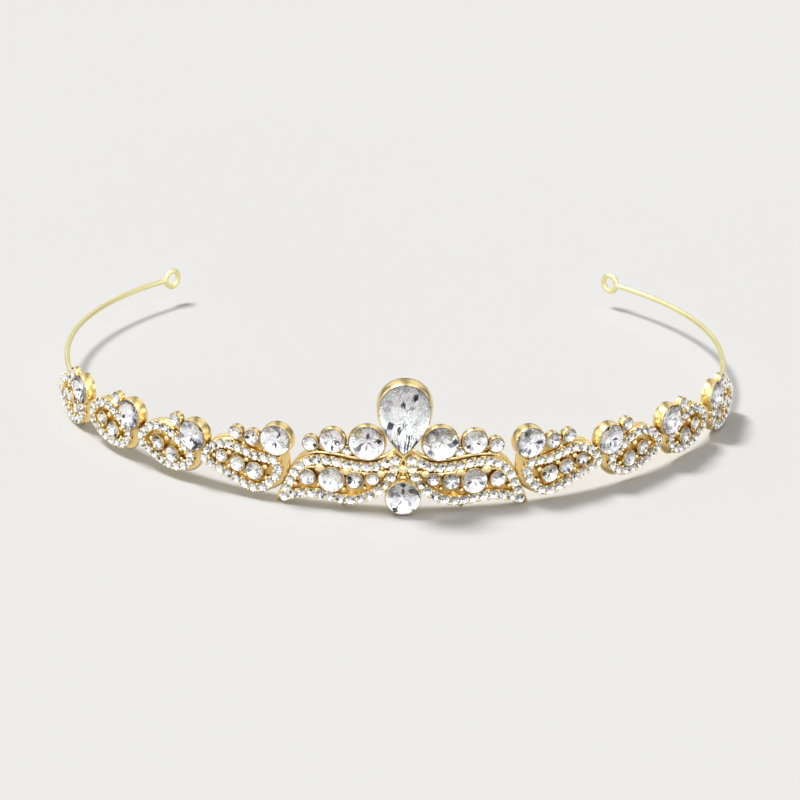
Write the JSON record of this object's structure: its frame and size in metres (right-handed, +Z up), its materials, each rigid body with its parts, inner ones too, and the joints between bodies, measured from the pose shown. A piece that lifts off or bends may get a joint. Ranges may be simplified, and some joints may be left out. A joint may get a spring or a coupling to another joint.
{
  "type": "bridal tiara",
  "caption": "Open wire band carrying gold castings set with cut crystals, with a tall pear stone at the centre and sprung arms that end in small eyes.",
  "frame": {"origin": "on the table under the middle of the whole tiara's bounding box", "axes": "-Y faces the front, where the pear stone is; +X is to the right as seen from the front; +Z is up"},
  "size_m": [0.1426, 0.1246, 0.0283],
  "materials": {
    "gold_plate": "bright yellow gold plate on a cast alloy",
    "pale_gold_wire": "pale satin gold-plated wire",
    "clear_crystal": "clear cut crystal with a foiled back"
  },
  "bodies": {
    "band": {"band_wire": "pale_gold_wire", "centre_casting": "gold_plate", "drop_bezel": "gold_plate", "drop_crystal": "clear_crystal", "leaf_1_inner_1_crystal_left": "clear_crystal", "leaf_1_inner_1_crystal_right": "clear_crystal", "leaf_1_inner_2_crystal_left": "clear_crystal", "leaf_1_inner_2_crystal_right": "clear_crystal", "leaf_1_inner_3_crystal_left": "clear_crystal", "leaf_1_inner_3_crystal_right": "clear_crystal", "leaf_1_large_crystal_left": "clear_crystal", "leaf_1_large_crystal_right": "clear_crystal", "leaf_1_medium_crystal_left": "clear_crystal", "leaf_1_medium_crystal_right": "clear_crystal", "leaf_1_small_crystal_left": "clear_crystal", "leaf_1_small_crystal_right": "clear_crystal", "leaf_2_inner_1_crystal_left": "clear_crystal", "leaf_2_inner_1_crystal_right": "clear_crystal", "leaf_2_inner_2_crystal_left": "clear_crystal", "leaf_2_inner_2_crystal_right": "clear_crystal", "leaf_2_large_crystal_left": "clear_crystal", "leaf_2_large_crystal_right": "clear_crystal", "leaf_2_top_crystal_left": "clear_crystal", "leaf_2_top_crystal_right": "clear_crystal", "leaf_3_inner_1_crystal_left": "clear_crystal", "leaf_3_inner_1_crystal_right": "clear_crystal", "leaf_3_large_crystal_left": "clear_crystal", "leaf_3_large_crystal_right": "clear_crystal", "leaf_3_top_crystal_left": "clear_crystal", "leaf_3_top_crystal_right": "clear_crystal", "leaf_4_large_crystal_left": "clear_crystal", "leaf_4_large_crystal_right": "clear_crystal", "leaf_4_top_crystal_left": "clear_crystal", "leaf_4_top_crystal_right": "clear_crystal", "leaf_casting_left_1": "gold_plate", "leaf_casting_left_2": "gold_plate", "leaf_casting_left_3": "gold_plate", "leaf_casting_left_4": "gold_plate", "leaf_casting_right_1": "gold_plate", "leaf_casting_right_2": "gold_plate", "leaf_casting_right_3": "gold_plate", "leaf_casting_right_4": "gold_plate", "pear_bezel": "gold_plate", "pear_crystal": "clear_crystal", "wing_inner_1_crystal_left": "clear_crystal", "wing_inner_1_crystal_right": "clear_crystal", "wing_inner_2_crystal_left": "clear_crystal", "wing_inner_2_crystal_right": "clear_crystal", "wing_inner_3_crystal_left": "clear_crystal", "wing_inner_3_crystal_right": "clear_crystal", "wing_inner_4_crystal_left": "clear_crystal", "wing_inner_4_crystal_right": "clear_crystal", "wing_large_crystal_left": "clear_crystal", "wing_large_crystal_right": "clear_crystal", "wing_medium_crystal_left": "clear_crystal", "wing_medium_crystal_right": "clear_crystal", "wing_small_crystal_left": "clear_crystal", "wing_small_crystal_right": "clear_crystal"},
    "arm_left": {"arm_wire_left": "pale_gold_wire"},
    "arm_right": {"arm_wire_right": "pale_gold_wire"}
  },
  "joints": [
    {"name": "arm_flex_left", "type": "hinge", "parent": "band", "child": "arm_left", "pos_m": [-0.06889, 0.00053, 0.0062], "axis": [0, 0, 1], "range_deg": [-5, 12], "stiffness_Nm_per_rad": 0.3},
    {"name": "arm_flex_right", "type": "hinge", "parent": "band", "child": "arm_right", "pos_m": [0.06889, 0.00053, 0.0062], "axis": [0, 0, -1], "range_deg": [-5, 12], "stiffness_Nm_per_rad": 0.3}
  ]
}
